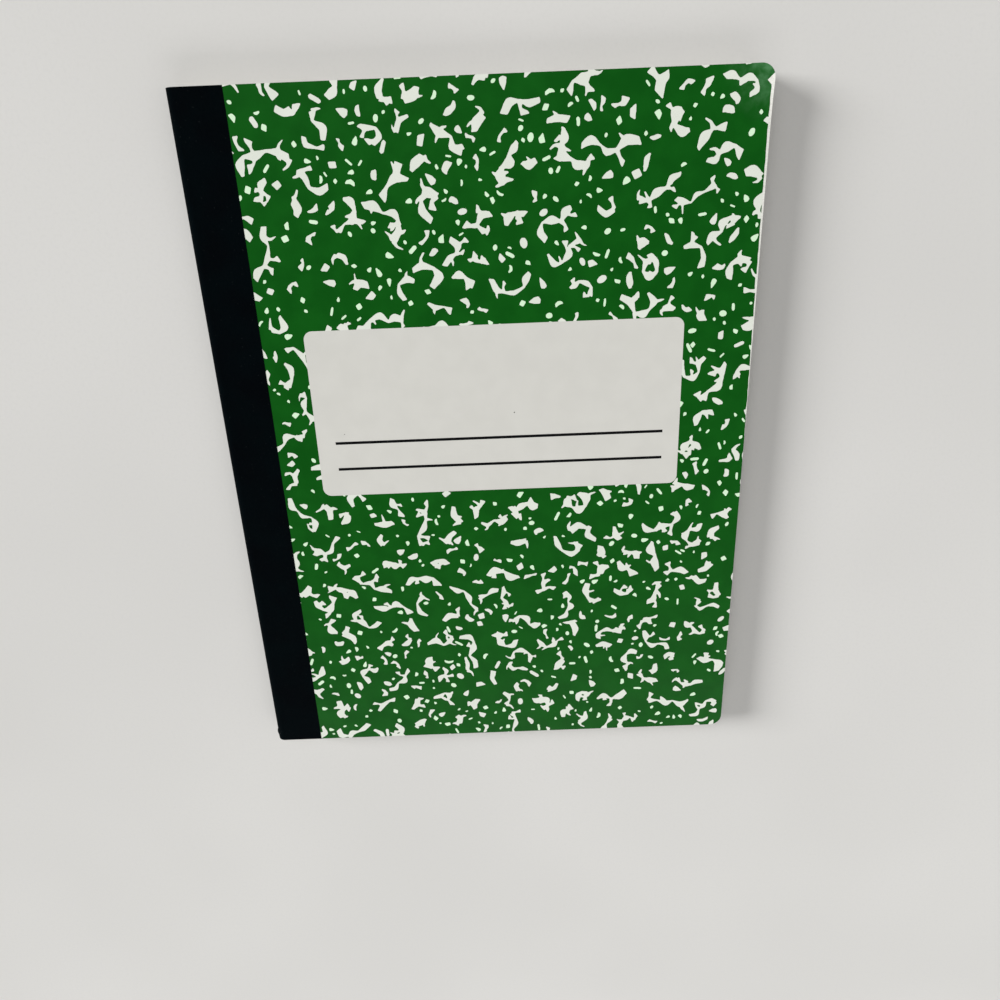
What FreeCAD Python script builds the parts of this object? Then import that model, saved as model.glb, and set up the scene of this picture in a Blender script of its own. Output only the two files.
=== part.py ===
import FreeCAD, Part
import Sketcher
import math
import os

# Composition notebook: folded leaves sewn through their fold, two stiff
# boards, and one strip of tape that wraps the spine and laps onto the boards.
# The book lies shut on its back board. X runs from the spine to the fore
# edge, Y from the tail to the head, Z through the thickness. The origin is
# the middle of the footprint, at the lowest surface.

DIMENSIONS = [
    ("book_width", "190.5", "outside of the spine tape to the fore edge"),
    ("book_height", "247.65", "tail to head"),
    ("leaf_count", "100", "leaves in the page block"),
    ("leaf_thickness", "0.084", "one leaf, with the air of a used book"),
    ("board_thickness", "0.8", "cover board"),
    ("corner_radius", "4.5", "round cut of the two fore-edge corners"),
    ("fold_radius", "8.0", "round of the page block's folded back"),
    ("fold_corner_radius", "2.6", "where the folded back meets the flat leaves"),
    ("tape_thickness", "0.2", "spine tape"),
    ("tape_proud", "0.05", "tape above the board that it is pressed into"),
    ("tape_lap", "19.05", "outside of the spine to the edge of the tape"),
    ("tape_corner_radius", "3.0", "inside of the tape, from the spine to the board"),
    ("board_gap", "0.25", "from the end of the tape's bend to the board's edge"),
    ("thread_diameter", "0.5", "sewing thread"),
    ("thread_clearance", "0.05", "room round the thread"),
    ("stitch_pitch", "10.0", "one stitch along the spine"),
    ("stitch_margin", "8.0", "least distance of a needle hole from head or tail"),
    ("thread_tail", "6.0", "thread beyond the first and the last needle hole"),
]

# The thread's section is a polygon inside its round outline.
THREAD_SIDES = 8

# Places worked out from the dimensions, each written once as an expression.
FORE_EDGE = "(dims.book_width / 2)"
SPINE = "(-dims.book_width / 2)"
BLOCK_THICKNESS = "(dims.leaf_count * dims.leaf_thickness)"
BLOCK_BOTTOM = "(dims.tape_proud + dims.board_thickness)"
BLOCK_TOP = f"({BLOCK_BOTTOM} + {BLOCK_THICKNESS})"
BOOK_THICKNESS = f"({BLOCK_TOP} + {BLOCK_BOTTOM})"
MIDDLE = f"({BOOK_THICKNESS} / 2)"
FRONT_FACE = BOOK_THICKNESS
BACK_FACE = "0"
TAPE_EDGE = f"({SPINE} + dims.tape_lap)"
BACK_CENTRE = f"({SPINE} + dims.tape_thickness + dims.fold_radius)"
TAPE_BACK_RADIUS = "(dims.fold_radius + dims.tape_thickness)"
TAPE_BEND_RADIUS = "(dims.tape_corner_radius + dims.tape_thickness)"
TAPE_BEND_DROP = f"({MIDDLE} - {TAPE_BEND_RADIUS})"
TAPE_BEND_REACH = "(dims.fold_radius - dims.tape_corner_radius)"
TAPE_BEND_CENTRE = f"({BACK_CENTRE} - sqrt({TAPE_BEND_REACH}^2 - {TAPE_BEND_DROP}^2))"
BOARD_EDGE = f"({TAPE_BEND_CENTRE} + dims.board_gap)"
HINGE_DEPTH = f"({BLOCK_BOTTOM} / 2)"
THREAD_ROOM = "(dims.thread_diameter / 2 + dims.thread_clearance)"
STITCH_LOOP = "(dims.thread_diameter + dims.thread_clearance)"
LOOP_ROOM = f"({STITCH_LOOP} + {THREAD_ROOM})"
OUTER_THREAD = f"({SPINE} + dims.tape_thickness + {THREAD_ROOM})"
INNER_THREAD = f"({SPINE} + dims.tape_thickness + {BLOCK_THICKNESS} / 2)"
NEEDLE_HOLES = "(floor((dims.book_height - 2 * dims.stitch_margin) / dims.stitch_pitch) + 1)"
STITCHED_LENGTH = f"(({NEEDLE_HOLES} - 1) * dims.stitch_pitch)"

doc = FreeCAD.newDocument("composition_notebook")
sheet = doc.addObject("Spreadsheet::Sheet", "dims")
for row, (alias, value, note) in enumerate(DIMENSIONS, start=1):
    sheet.set(f"A{row}", note)
    sheet.set(f"B{row}", value)
    sheet.setAlias(f"B{row}", alias)
doc.recompute()


def value(expression):
    """The number that an expression over the sheet gives now."""
    return float(sheet.evalExpression(expression))


def new_body(label):
    body = doc.addObject("PartDesign::Body", label)
    body.Label = label
    return body


def new_sketch(body, name, role):
    """An empty sketch on one of the body's own origin planes."""
    plane = next(item for item in body.Origin.OriginFeatures if item.Role == role)
    sketch = body.newObject("Sketcher::SketchObject", name)
    sketch.AttachmentSupport = [(plane, "")]
    sketch.MapMode = "FlatFace"
    return sketch


def constrain(sketch, kind, *references, bound_to=None):
    """Adds a constraint, and ties its size to an expression where one is given."""
    if bound_to is None:
        return sketch.addConstraint(Sketcher.Constraint(kind, *references))
    size = value(bound_to)
    index = sketch.addConstraint(Sketcher.Constraint(kind, *references, size))
    sketch.setExpression(f"Constraints[{index}]", bound_to)
    return index


def place_point(sketch, curve, end, x_from, y_from):
    """Ties one point of a curve to two expressions measured from the origin."""
    constrain(sketch, "DistanceX", -1, 1, curve, end, bound_to=x_from)
    constrain(sketch, "DistanceY", -1, 1, curve, end, bound_to=y_from)


def add_polygon(sketch, points):
    """Straight lines through the points and back to the first, joined at the ends."""
    lines = []
    for begin, finish in zip(points, points[1:] + points[:1]):
        line = Part.LineSegment(FreeCAD.Vector(*begin, 0), FreeCAD.Vector(*finish, 0))
        lines.append(sketch.addGeometry(line, False))
    for line, following in zip(lines, lines[1:] + lines[:1]):
        constrain(sketch, "Coincident", line, 2, following, 1)
    return lines


def add_line(sketch, begin, finish):
    line = Part.LineSegment(FreeCAD.Vector(*begin, 0), FreeCAD.Vector(*finish, 0))
    return sketch.addGeometry(line, False)


def add_arc(sketch, centre, radius, start, end):
    """An arc that runs anticlockwise from the start angle to the end angle."""
    circle = Part.Circle(FreeCAD.Vector(*centre, 0), FreeCAD.Vector(0, 0, 1), radius)
    return sketch.addGeometry(Part.ArcOfCircle(circle, start, end), False)


def pad_both_ways(body, sketch, name, length):
    """Extrudes a cross-section evenly to both sides of its plane."""
    pad = body.newObject("PartDesign::Pad", name)
    pad.Profile = sketch
    pad.SideType = "Symmetric"
    pad.setExpression("Length", length)
    doc.recompute()
    return pad


def cut_both_ways(body, sketch, name, length):
    """Cuts a cross-section evenly to both sides of its plane, and checks that it cut."""
    before = body.Shape.Volume
    pocket = body.newObject("PartDesign::Pocket", name)
    pocket.Profile = sketch
    pocket.SideType = "Symmetric"
    pocket.setExpression("Length", length)
    doc.recompute()
    if body.Shape.Volume >= before:
        raise RuntimeError(f"{name} removes nothing")
    return pocket


def round_edges(body, name, radius, wanted):
    """Rounds the edges of the body's last feature that a test picks out."""
    base = body.Tip
    names = [f"Edge{number}" for number, edge in enumerate(base.Shape.Edges, start=1) if wanted(edge)]
    fillet = body.newObject("PartDesign::Fillet", name)
    fillet.Base = (base, names)
    fillet.setExpression("Radius", radius)
    doc.recompute()
    return fillet


def is_fore_corner(edge):
    """True for an edge that stands upright on the fore edge."""
    box = edge.BoundBox
    upright = box.XLength < 0.001 and box.YLength < 0.001
    return upright and abs(box.XMax - value(FORE_EDGE)) < 0.001


def make_page_block():
    """All the leaves as one solid, with the holes that the sewing needs."""
    body = new_body("page_block")
    half = value(BLOCK_THICKNESS) / 2
    middle = value(MIDDLE)
    radius = value("dims.fold_radius")
    centre = value(BACK_CENTRE)
    corner = centre - math.sqrt(radius ** 2 - half ** 2)
    fore = value(FORE_EDGE)
    spread = math.asin(half / radius)

    section = new_sketch(body, "FoldedSection", "XZ_Plane")
    under = add_line(section, (corner, middle - half), (fore, middle - half))
    front = add_line(section, (fore, middle - half), (fore, middle + half))
    over = add_line(section, (fore, middle + half), (corner, middle + half))
    back = add_arc(section, (centre, middle), radius, math.pi - spread, math.pi + spread)
    constrain(section, "Coincident", under, 2, front, 1)
    constrain(section, "Coincident", front, 2, over, 1)
    constrain(section, "Coincident", over, 2, back, 1)
    constrain(section, "Coincident", back, 2, under, 1)
    constrain(section, "Horizontal", under)
    constrain(section, "Vertical", front)
    constrain(section, "Horizontal", over)
    constrain(section, "Radius", back, bound_to="dims.fold_radius")
    place_point(section, back, 3, BACK_CENTRE, MIDDLE)
    place_point(section, under, 2, FORE_EDGE, BLOCK_BOTTOM)
    constrain(section, "DistanceY", front, 1, front, 2, bound_to=BLOCK_THICKNESS)
    pad_both_ways(body, section, "Leaves", "dims.book_height")

    def is_fold_corner(edge):
        box = edge.BoundBox
        along = box.XLength < 0.001 and box.ZLength < 0.001
        return along and abs(box.XMax - corner) < 0.001

    round_edges(body, "FoldCorners", "dims.fold_corner_radius", is_fold_corner)
    round_edges(body, "ForeCorners", "dims.corner_radius", is_fore_corner)
    cut_thread_groove(body)
    cut_centre_tunnel(body)
    cut_needle_holes(body)
    return body


def add_box_section(sketch, left, right, half_height):
    """A rectangle between two places on X, as far over the book's middle as under it."""
    low, high = f"({MIDDLE} - {half_height})", f"({MIDDLE} + {half_height})"
    x_from, x_to, z_from, z_to = value(left), value(right), value(low), value(high)
    lines = add_polygon(sketch, [(x_from, z_from), (x_to, z_from), (x_to, z_to), (x_from, z_to)])
    for line in lines[0::2]:
        constrain(sketch, "Horizontal", line)
    for line in lines[1::2]:
        constrain(sketch, "Vertical", line)
    place_point(sketch, lines[0], 1, left, low)
    place_point(sketch, lines[2], 1, right, high)


def cut_thread_groove(body):
    """The line pressed into the folded back, where the outer thread lies."""
    sketch = new_sketch(body, "GrooveSection", "XZ_Plane")
    add_box_section(sketch, SPINE, f"({OUTER_THREAD} + {THREAD_ROOM})", LOOP_ROOM)
    cut_both_ways(body, sketch, "ThreadGroove", "dims.book_height")


def cut_centre_tunnel(body):
    """The crease of the innermost leaves, which the inner thread lies in."""
    sketch = new_sketch(body, "TunnelSection", "XZ_Plane")
    centre = FreeCAD.Vector(value(INNER_THREAD), value(MIDDLE), 0)
    circle = Part.Circle(centre, FreeCAD.Vector(0, 0, 1), value(THREAD_ROOM))
    tunnel = sketch.addGeometry(circle, False)
    constrain(sketch, "Radius", tunnel, bound_to=THREAD_ROOM)
    place_point(sketch, tunnel, 3, INNER_THREAD, MIDDLE)
    cut_both_ways(body, sketch, "CentreTunnel", "dims.book_height")


def cut_needle_holes(body):
    """Holes from the folded back past the centre crease, wide enough for a loop of thread."""
    sketch = new_sketch(body, "NeedleHoleSection", "XZ_Plane")
    sketch.setExpression("AttachmentOffset.Base.z", f"{STITCHED_LENGTH} / 2")
    add_box_section(sketch, SPINE, f"({INNER_THREAD} + {LOOP_ROOM})", LOOP_ROOM)
    width = "dims.thread_diameter + 2 * dims.thread_clearance"
    hole = cut_both_ways(body, sketch, "NeedleHole", width)

    before = body.Shape.Volume
    row = body.newObject("PartDesign::LinearPattern", "NeedleHoles")
    row.Originals = [hole]
    row.Direction = (next(item for item in body.Origin.OriginFeatures if item.Role == "Y_Axis"), [""])
    row.Mode = "Spacing"
    row.setExpression("Offset", "dims.stitch_pitch")
    row.setExpression("Occurrences", NEEDLE_HOLES)
    body.Tip = row
    doc.recompute()
    if body.Shape.Volume >= before:
        raise RuntimeError("the row of needle holes removes nothing")


def make_board(label, is_front):
    """A cover board, thinner under the tape that is pressed into its outer face."""
    body = new_body(label)
    side = 1 if is_front else -1
    inner = BLOCK_TOP if is_front else BLOCK_BOTTOM
    outer = f"{inner} + {side} * dims.board_thickness"
    seat = f"{outer} - {side} * (dims.tape_thickness - dims.tape_proud)"

    sketch = new_sketch(body, "BoardSection", "XZ_Plane")
    spine, step, fore = value(BOARD_EDGE), value(TAPE_EDGE), value(FORE_EDGE)
    inside, outside, taped = value(inner), value(outer), value(seat)
    corners = [(spine, inside), (fore, inside), (fore, outside), (step, outside), (step, taped), (spine, taped)]
    lines = add_polygon(sketch, corners)
    for line in lines[0::2]:
        constrain(sketch, "Horizontal", line)
    for line in lines[1::2]:
        constrain(sketch, "Vertical", line)
    place_point(sketch, lines[0], 1, BOARD_EDGE, inner)
    place_point(sketch, lines[2], 1, FORE_EDGE, outer)
    place_point(sketch, lines[4], 1, TAPE_EDGE, seat)
    pad_both_ways(body, sketch, "Board", "dims.book_height")
    round_edges(body, "ForeCorners", "dims.corner_radius", is_fore_corner)
    return body


def hinge_angle():
    """How far round the tape's bend the hinge line lies, from the flat of the cover."""
    radius = value(TAPE_BEND_RADIUS)
    return math.acos((radius - value(HINGE_DEPTH)) / radius)


def make_tape_flap(label, is_front):
    """The tape's lap on one board, out from the hinge line in its bend."""
    body = new_body(label)
    side = 1 if is_front else -1
    face = FRONT_FACE if is_front else BACK_FACE
    glued = f"{face} - {side} * dims.tape_thickness"
    bend = f"{face} - {side} * ({TAPE_BEND_RADIUS})"
    hinge = f"{face} - {side} * {HINGE_DEPTH}"
    centre = (value(TAPE_BEND_CENTRE), value(bend))
    outer_radius, inner_radius = value(TAPE_BEND_RADIUS), value("dims.tape_corner_radius")
    turn = hinge_angle()
    edge, outside, inside = value(TAPE_EDGE), value(face), value(glued)
    upright = side * math.pi / 2
    angles = (upright, upright + turn) if is_front else (upright - turn, upright)

    def on_hinge(radius):
        angle = upright + side * turn
        return centre[0] + radius * math.cos(angle), centre[1] + radius * math.sin(angle)

    sketch = new_sketch(body, "FlapSection", "XZ_Plane")
    outer = add_line(sketch, (centre[0], outside), (edge, outside))
    cut = add_line(sketch, (edge, outside), (edge, inside))
    inner = add_line(sketch, (edge, inside), (centre[0], inside))
    inner_bend = add_arc(sketch, centre, inner_radius, *angles)
    split = add_line(sketch, on_hinge(inner_radius), on_hinge(outer_radius))
    outer_bend = add_arc(sketch, centre, outer_radius, *angles)
    flat_end, hinge_end = (1, 2) if is_front else (2, 1)
    constrain(sketch, "Coincident", outer, 2, cut, 1)
    constrain(sketch, "Coincident", cut, 2, inner, 1)
    constrain(sketch, "Tangent", inner, 2, inner_bend, flat_end)
    constrain(sketch, "Coincident", inner_bend, hinge_end, split, 1)
    constrain(sketch, "Coincident", split, 2, outer_bend, hinge_end)
    constrain(sketch, "Tangent", outer_bend, flat_end, outer, 1)
    constrain(sketch, "Horizontal", outer)
    constrain(sketch, "Vertical", cut)
    constrain(sketch, "Coincident", inner_bend, 3, outer_bend, 3)
    constrain(sketch, "PointOnObject", outer_bend, 3, split)
    constrain(sketch, "Radius", outer_bend, bound_to=TAPE_BEND_RADIUS)
    constrain(sketch, "Radius", inner_bend, bound_to="dims.tape_corner_radius")
    place_point(sketch, outer_bend, 3, TAPE_BEND_CENTRE, bend)
    constrain(sketch, "DistanceX", -1, 1, cut, 1, bound_to=TAPE_EDGE)
    constrain(sketch, "DistanceY", -1, 1, split, 2, bound_to=hinge)
    pad_both_ways(body, sketch, "Flap", "dims.book_height")
    return body


def make_spine_tape():
    """The tape round the folded back, between the two hinge lines."""
    body = new_body("spine_tape")
    middle, top = value(MIDDLE), value(BOOK_THICKNESS)
    back = (value(BACK_CENTRE), middle)
    bend_x = value(TAPE_BEND_CENTRE)
    radii = [value(TAPE_BEND_RADIUS), value("dims.tape_corner_radius")]
    back_radii = [value(TAPE_BACK_RADIUS), value("dims.fold_radius")]
    turn = hinge_angle()
    upper = (bend_x, top - radii[0])
    lower = (bend_x, radii[0])
    meet = math.atan2(upper[1] - middle, back[0] - bend_x)

    sketch = new_sketch(body, "SpineSection", "XZ_Plane")
    runs = []
    for radius, back_radius in zip(radii, back_radii):
        over = add_arc(sketch, upper, radius, math.pi / 2 + turn, math.pi - meet)
        behind = add_arc(sketch, back, back_radius, math.pi - meet, math.pi + meet)
        under = add_arc(sketch, lower, radius, math.pi + meet, 3 * math.pi / 2 - turn)
        constrain(sketch, "Tangent", over, 2, behind, 1)
        constrain(sketch, "Tangent", behind, 2, under, 1)
        runs.append((over, behind, under))
    outer, inner = runs

    def polar(centre, radius, angle):
        return centre[0] + radius * math.cos(angle), centre[1] + radius * math.sin(angle)

    first, last = math.pi / 2 + turn, 3 * math.pi / 2 - turn
    split_over = add_line(sketch, polar(upper, radii[0], first), polar(upper, radii[1], first))
    split_under = add_line(sketch, polar(lower, radii[1], last), polar(lower, radii[0], last))
    constrain(sketch, "Coincident", split_over, 1, outer[0], 1)
    constrain(sketch, "Coincident", split_over, 2, inner[0], 1)
    constrain(sketch, "Coincident", split_under, 1, inner[2], 2)
    constrain(sketch, "Coincident", split_under, 2, outer[2], 2)
    for piece in range(3):
        constrain(sketch, "Coincident", outer[piece], 3, inner[piece], 3)
    constrain(sketch, "Radius", outer[1], bound_to=TAPE_BACK_RADIUS)
    constrain(sketch, "Radius", inner[1], bound_to="dims.fold_radius")
    constrain(sketch, "Radius", outer[0], bound_to=TAPE_BEND_RADIUS)
    constrain(sketch, "Radius", outer[2], bound_to=TAPE_BEND_RADIUS)
    place_point(sketch, outer[1], 3, BACK_CENTRE, MIDDLE)
    constrain(sketch, "DistanceY", -1, 1, outer[0], 3, bound_to=f"{BOOK_THICKNESS} - ({TAPE_BEND_RADIUS})")
    constrain(sketch, "DistanceY", -1, 1, outer[2], 3, bound_to=TAPE_BEND_RADIUS)
    constrain(sketch, "DistanceY", -1, 1, split_over, 1, bound_to=f"{BOOK_THICKNESS} - {HINGE_DEPTH}")
    constrain(sketch, "DistanceY", -1, 1, split_under, 2, bound_to=HINGE_DEPTH)
    constrain(sketch, "PointOnObject", outer[0], 3, split_over)
    constrain(sketch, "PointOnObject", outer[2], 3, split_under)
    pad_both_ways(body, sketch, "SpineStrip", "dims.book_height")
    return body


def make_inner_thread():
    """The straight thread along the centre crease, which every loop goes round."""
    body = new_body("inner_thread")
    sketch = new_sketch(body, "ThreadSection", "XZ_Plane")
    centre = FreeCAD.Vector(value(INNER_THREAD), value(MIDDLE), 0)
    circle = Part.Circle(centre, FreeCAD.Vector(0, 0, 1), value("dims.thread_diameter") / 2)
    thread = sketch.addGeometry(circle, False)
    constrain(sketch, "Radius", thread, bound_to="dims.thread_diameter / 2")
    place_point(sketch, thread, 3, INNER_THREAD, MIDDLE)
    pad_both_ways(body, sketch, "Thread", f"{STITCHED_LENGTH} + 2 * dims.thread_tail")
    return body


def stitch_points():
    """Slanting stitches along the back, each going in round the inner thread and out again."""
    outside, inside, middle = value(OUTER_THREAD), value(INNER_THREAD), value(MIDDLE)
    loop, pitch, tail = value(STITCH_LOOP), value("dims.stitch_pitch"), value("dims.thread_tail")
    first = -value(STITCHED_LENGTH) / 2
    slant = 2 * loop / pitch

    points = [FreeCAD.Vector(outside, first - tail, middle + loop - slant * tail)]
    for number in range(round(value(NEEDLE_HOLES))):
        along = first + number * pitch
        points.append(FreeCAD.Vector(outside, along, middle + loop))
        points.append(FreeCAD.Vector(inside + loop, along, middle + loop))
        points.append(FreeCAD.Vector(inside + loop, along, middle - loop))
        points.append(FreeCAD.Vector(outside, along, middle - loop))
    points.append(FreeCAD.Vector(outside, along + tail, middle - loop + slant * tail))
    return points


def make_outer_thread():
    """The thread that shows the stitches on the back, under the tape."""
    points = stitch_points()
    path = doc.addObject("Part::Polygon", "StitchPath")
    path.Nodes = points
    section = doc.addObject("Part::RegularPolygon", "StitchSection")
    section.Polygon = THREAD_SIDES
    section.setExpression("Circumradius", "dims.thread_diameter / 2")
    along = FreeCAD.Rotation(FreeCAD.Vector(0, 0, 1), points[1] - points[0])
    section.Placement = FreeCAD.Placement(points[0], along)
    doc.recompute()

    thread = doc.addObject("Part::Sweep", "outer_thread")
    thread.Label = "outer_thread"
    thread.Sections = [section]
    thread.Spine = (path, [f"Edge{number}" for number in range(1, len(points))])
    thread.Solid = True
    thread.Transition = "Right corner"
    doc.recompute()
    expected = Part.Face(Part.Wire(section.Shape.Edges)).Area * path.Shape.Length
    if abs(thread.Shape.Volume - expected) > 0.02 * expected:
        raise RuntimeError("the outer thread isn't its section times its length")
    return thread


pieces = [
    make_page_block(),
    make_board("front_board", True),
    make_board("back_board", False),
    make_spine_tape(),
    make_tape_flap("front_tape_flap", True),
    make_tape_flap("back_tape_flap", False),
    make_outer_thread(),
    make_inner_thread(),
]
doc.recompute()

for item in doc.Objects:
    if "Invalid" in item.State or "Error" in item.State:
        raise RuntimeError(f"{item.Name} failed: {item.State}")
for piece in pieces:
    if piece.Shape.isNull() or not piece.Shape.isValid() or len(piece.Shape.Solids) != 1:
        raise RuntimeError(f"{piece.Label} isn't one valid solid")

os.makedirs("parts", exist_ok=True)
for piece in pieces:
    piece.Shape.exportStep(f"parts/{piece.Label}.step")
    print(piece.Label, round(piece.Shape.Volume, 3), piece.Shape.BoundBox)
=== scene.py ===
"""Looks of the composition notebook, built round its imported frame.

Working sizes are millimetres in the part's own frame: +Z up, the tape at -X, the head at +Y.
Meshes are turned into metres when they are made.
"""

import math

import bpy
import numpy as np
from mathutils import Matrix, Vector
from mathutils.geometry import delaunay_2d_cdt


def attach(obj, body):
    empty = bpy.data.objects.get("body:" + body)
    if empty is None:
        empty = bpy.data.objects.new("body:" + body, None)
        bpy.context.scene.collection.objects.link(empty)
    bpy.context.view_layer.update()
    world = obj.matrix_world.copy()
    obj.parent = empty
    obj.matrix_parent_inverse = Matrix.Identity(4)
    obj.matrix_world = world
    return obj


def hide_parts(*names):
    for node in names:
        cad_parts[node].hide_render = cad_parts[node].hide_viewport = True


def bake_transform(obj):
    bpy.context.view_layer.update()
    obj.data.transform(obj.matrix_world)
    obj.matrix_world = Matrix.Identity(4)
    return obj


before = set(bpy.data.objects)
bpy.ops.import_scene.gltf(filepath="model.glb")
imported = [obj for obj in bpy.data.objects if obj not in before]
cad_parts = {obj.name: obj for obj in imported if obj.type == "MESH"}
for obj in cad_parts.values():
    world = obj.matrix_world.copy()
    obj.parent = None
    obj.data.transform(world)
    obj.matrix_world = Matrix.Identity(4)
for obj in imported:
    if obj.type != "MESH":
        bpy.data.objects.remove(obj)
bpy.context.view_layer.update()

MM = 0.001
TINY = 1e-9

# The book, as part.py has it
HALF_WIDTH = 95.25
HALF_HEIGHT = 123.825
THICKNESS = 10.1
MIDDLE_Z = THICKNESS / 2
BOARD_TOP = 10.05
BOARD_BOTTOM = 9.25
BOARD_SPINE_X = -91.4452
TAPED_SEAT = 9.9
CORNER_RADIUS = 4.5
HINGE_Z = 9.675

# The tape's edge runs slightly out of square
TAPE_EDGE_HEAD = 18.95 - HALF_WIDTH
TAPE_EDGE_TAIL = 19.15 - HALF_WIDTH


def at(x, y):
    """A place measured from the cover's spine and tail edges, in the part's frame."""
    return np.array([x - HALF_WIDTH, y - HALF_HEIGHT])


def tape_edge(y):
    """Where the tape ends on the cover, at that height up the book."""
    return TAPE_EDGE_TAIL + (TAPE_EDGE_HEAD - TAPE_EDGE_TAIL) * (y + HALF_HEIGHT) / (2 * HALF_HEIGHT)


def placed(name, data):
    """A new object in the scene that holds that data."""
    made = bpy.data.objects.new(name, data)
    bpy.context.scene.collection.objects.link(made)
    return made


# Camera, at the photograph's distance and tilt
CAMERA_PLACE = (0.00599, 0.08117, 0.26896)
CAMERA_RIGHT = Vector((0.99926, -0.03749, 0.00925))
CAMERA_UP = Vector((0.03833, 0.93395, -0.35534))
CAMERA_LENS = 26.39
CAMERA_SENSOR = 36


def make_camera():
    """The photograph's view of the book."""
    data = bpy.data.cameras.new("camera")
    data.sensor_width = CAMERA_SENSOR
    data.lens = CAMERA_LENS
    data.clip_start = 0.01
    data.clip_end = 10
    camera = placed("camera", data)
    right = CAMERA_RIGHT.normalized()
    up = (CAMERA_UP - right * CAMERA_UP.dot(right)).normalized()
    turn = Matrix((right, up, right.cross(up))).transposed()
    camera.matrix_world = Matrix.Translation(CAMERA_PLACE) @ turn.to_4x4()
    bpy.context.scene.camera = camera


make_camera()
bpy.context.scene.view_settings.view_transform = "Standard"


# Colours and node helpers
def linear(red, green, blue):
    """A colour given as 0 to 255 screen values, as the shader wants it."""
    values = [v / 255 for v in (red, green, blue)]
    return tuple(v / 12.92 if v <= 0.04045 else ((v + 0.055) / 1.055) ** 2.4 for v in values) + (1.0,)


class Nodes:
    """One material's node tree, with short calls for the nodes used here."""

    def __init__(self, name, roughness, specular):
        self.material = bpy.data.materials.new(name)
        self.material.use_nodes = True
        self.tree = self.material.node_tree
        self.shader = self.tree.nodes["Principled BSDF"]
        self.shader.inputs["Roughness"].default_value = roughness
        self.shader.inputs["Specular IOR Level"].default_value = specular

    def add(self, kind, **settings):
        node = self.tree.nodes.new(kind)
        for key, value in settings.items():
            setattr(node, key, value)
        return node

    def join(self, source, target):
        self.tree.links.new(source, target)

    def place(self, attribute=None):
        """The surface's own place: what the mesh stores under that name, or else the object's."""
        if attribute:
            return self.add("ShaderNodeAttribute", attribute_name=attribute).outputs["Vector"]
        return self.add("ShaderNodeTexCoord").outputs["Object"]

    def noise(self, place, size, detail=2.0, roughness=0.5, stretch=(1, 1, 1)):
        """Soft noise whose features are about that many millimetres across."""
        scale = self.add("ShaderNodeVectorMath", operation="MULTIPLY")
        self.join(place, scale.inputs[0])
        scale.inputs[1].default_value = [1 / (size * MM * s) for s in stretch]
        noise = self.add("ShaderNodeTexNoise")
        noise.inputs["Scale"].default_value = 1.0
        noise.inputs["Detail"].default_value = detail
        noise.inputs["Roughness"].default_value = roughness
        self.join(scale.outputs[0], noise.inputs["Vector"])
        return noise.outputs["Fac"]

    def ramp(self, value, low, high, to_low=0.0, to_high=1.0, smooth=True):
        """The value's climb from low to high, drawn out between the two results."""
        node = self.add("ShaderNodeMapRange", interpolation_type="SMOOTHSTEP" if smooth else "LINEAR")
        self.join(value, node.inputs["Value"])
        node.inputs["From Min"].default_value = low
        node.inputs["From Max"].default_value = high
        node.inputs["To Min"].default_value = to_low
        node.inputs["To Max"].default_value = to_high
        return node.outputs["Result"]

    def maths(self, operation, first, second):
        """The result of that operation on two values, each a number or a socket."""
        node = self.add("ShaderNodeMath", operation=operation)
        for socket, value in zip(node.inputs, (first, second)):
            if isinstance(value, (int, float)):
                socket.default_value = value
            else:
                self.join(value, socket)
        return node.outputs[0]

    def mix(self, share, first, second):
        """The first colour turning into the second as the share grows."""
        node = self.add("ShaderNodeMix", data_type="RGBA")
        self.join(share, node.inputs["Factor"])
        for key, value in (("A", first), ("B", second)):
            socket = [s for s in node.inputs if s.name == key and s.type == "RGBA"][0]
            if isinstance(value, tuple):
                socket.default_value = value
            else:
                self.join(value, socket)
        return [s for s in node.outputs if s.type == "RGBA"][0]

    def colour(self, source):
        self.join(source, self.shader.inputs["Base Color"])

    def rough(self, source):
        self.join(source, self.shader.inputs["Roughness"])

    def bump(self, height, depth):
        """Raises the surface by height times depth, in millimetres."""
        node = self.add("ShaderNodeBump")
        node.inputs["Distance"].default_value = depth * MM
        node.inputs["Strength"].default_value = 1.0
        self.join(height, node.inputs["Height"])
        self.join(node.outputs["Normal"], self.shader.inputs["Normal"])


# The bent corner of the front cover, where a lighter green sheen is painted on the coat and no print
# shows
BENT_CORNER = (HALF_WIDTH - 1.0, HALF_HEIGHT - 1.0)
CREASE_HEAD = 10.0
CREASE_FORE = 19.0
CORNER_LIFT = 0.019
SHEEN_REACH = 17.0
SHEEN_FULL = 2.0
BARE_PRINT = [(HALF_WIDTH - 5, HALF_HEIGHT + 2), (HALF_WIDTH - 1.5, HALF_HEIGHT - 4.5),
              (HALF_WIDTH + 2, HALF_HEIGHT - 5), (HALF_WIDTH + 2, HALF_HEIGHT + 2)]


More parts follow.
